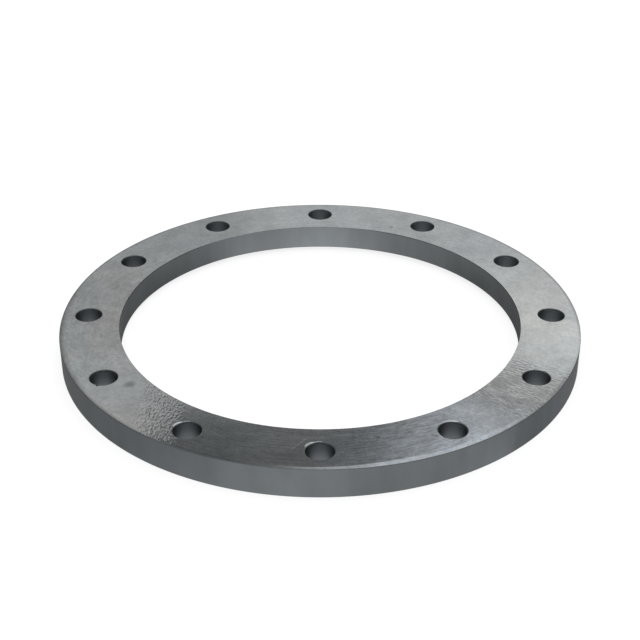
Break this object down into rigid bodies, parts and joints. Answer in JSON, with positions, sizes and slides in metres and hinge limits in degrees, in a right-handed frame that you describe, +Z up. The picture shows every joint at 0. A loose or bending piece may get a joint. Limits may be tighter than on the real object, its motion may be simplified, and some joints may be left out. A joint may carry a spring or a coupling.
{
  "type": "lap joint flange",
  "caption": "Loose backing flange of a lap joint: a flat steel ring with a plain bore that turns freely on a pipe's stub end, and a circle of bolt holes that clamps it.",
  "frame": {"origin": "centre of the underside, on the bore's axis", "axes": "+Z up along the bore's axis, out of the face that the bolts' nuts bear on; a bolt hole's centre lies on each of +X, +Y, -X and -Y"},
  "size_m": [0.4449, 0.445, 0.0255],
  "materials": {
    "steel": "bare machined steel plate, satin, with faint turning marks and mottling"
  },
  "bodies": {
    "root": {"flange_ring": "steel"}
  },
  "joints": []
}
